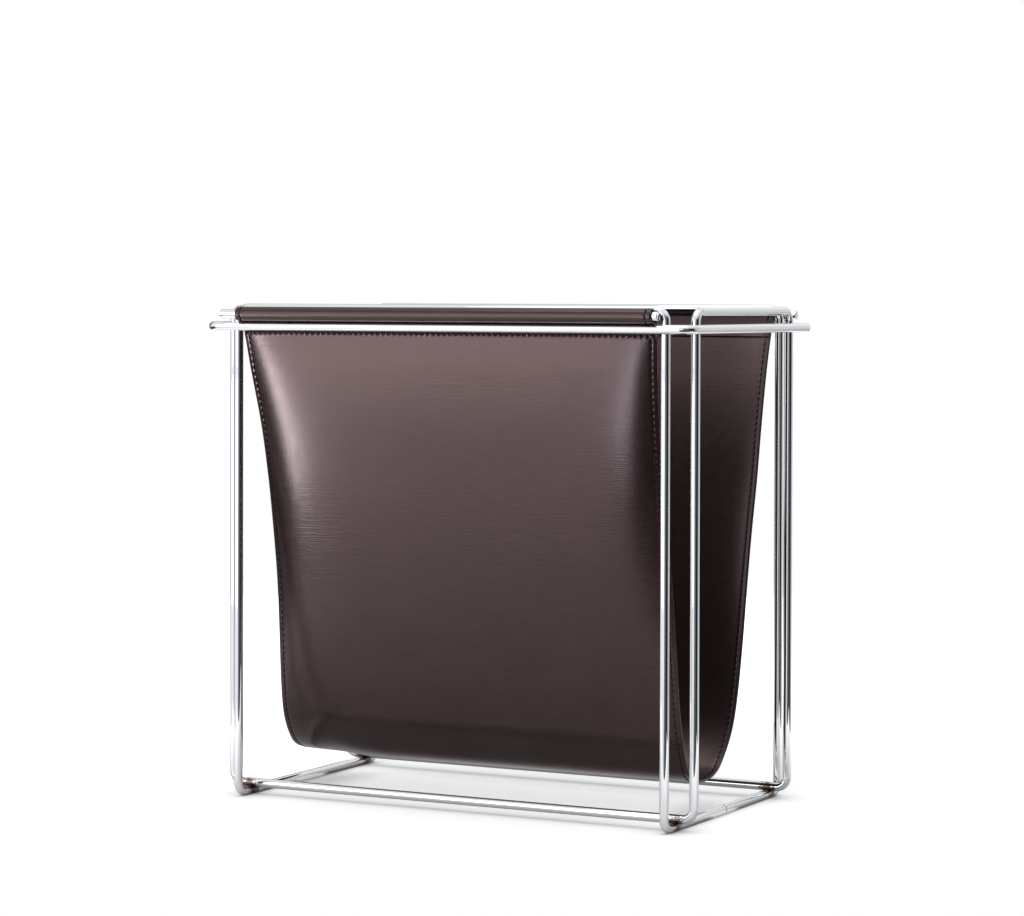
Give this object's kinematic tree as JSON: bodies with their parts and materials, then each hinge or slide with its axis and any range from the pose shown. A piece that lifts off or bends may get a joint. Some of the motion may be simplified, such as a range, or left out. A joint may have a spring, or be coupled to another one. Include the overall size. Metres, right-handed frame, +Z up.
{
  "type": "magazine basket",
  "caption": "Free-standing magazine basket: a frame of bent chromed rod carries an open-ended leather sling on loose rods that draw out endways.",
  "frame": {"origin": "on the floor, in the middle of the frame", "axes": "+X along the long side to the right end, +Y to the back, +Z up"},
  "size_m": [0.4242, 0.244, 0.3905],
  "materials": {
    "chrome_rod": "polished chrome plate on round rod",
    "weld_fillet": "plated over, dull and brownish",
    "leather": "smooth dark brown hide, satin",
    "lining_leather": "smooth hide, nearly black brown, dull satin",
    "thread": "waxed dark brown thread"
  },
  "bodies": {
    "basket": {"top_loop": "chrome_rod", "base_loop": "chrome_rod", "rim_ring": "chrome_rod", "sling_outer": "leather", "sling_lining": "lining_leather", "left_side_thread": "thread", "right_side_thread": "thread", "front_hem_thread": "thread", "back_hem_thread": "thread", "foot_fillet_right_front": "weld_fillet", "foot_fillet_right_back": "weld_fillet", "foot_fillet_left_front": "weld_fillet", "foot_fillet_left_back": "weld_fillet", "rim_fillet_long_right_front": "weld_fillet", "rim_fillet_long_right_back": "weld_fillet", "rim_fillet_long_left_front": "weld_fillet", "rim_fillet_long_left_back": "weld_fillet", "rim_fillet_end_right_front": "weld_fillet", "rim_fillet_end_right_back": "weld_fillet", "rim_fillet_end_left_front": "weld_fillet", "rim_fillet_end_left_back": "weld_fillet"},
    "front_hanger": {"front_hanger_rod": "chrome_rod"},
    "back_hanger": {"back_hanger_rod": "chrome_rod"}
  },
  "joints": [
    {"name": "front_hanger_slide", "type": "slide", "parent": "basket", "child": "front_hanger", "axis": [1, 0, 0], "range_m": [-0.366, 0.379]},
    {"name": "back_hanger_slide", "type": "slide", "parent": "basket", "child": "back_hanger", "axis": [1, 0, 0], "range_m": [-0.379, 0.366]}
  ]
}
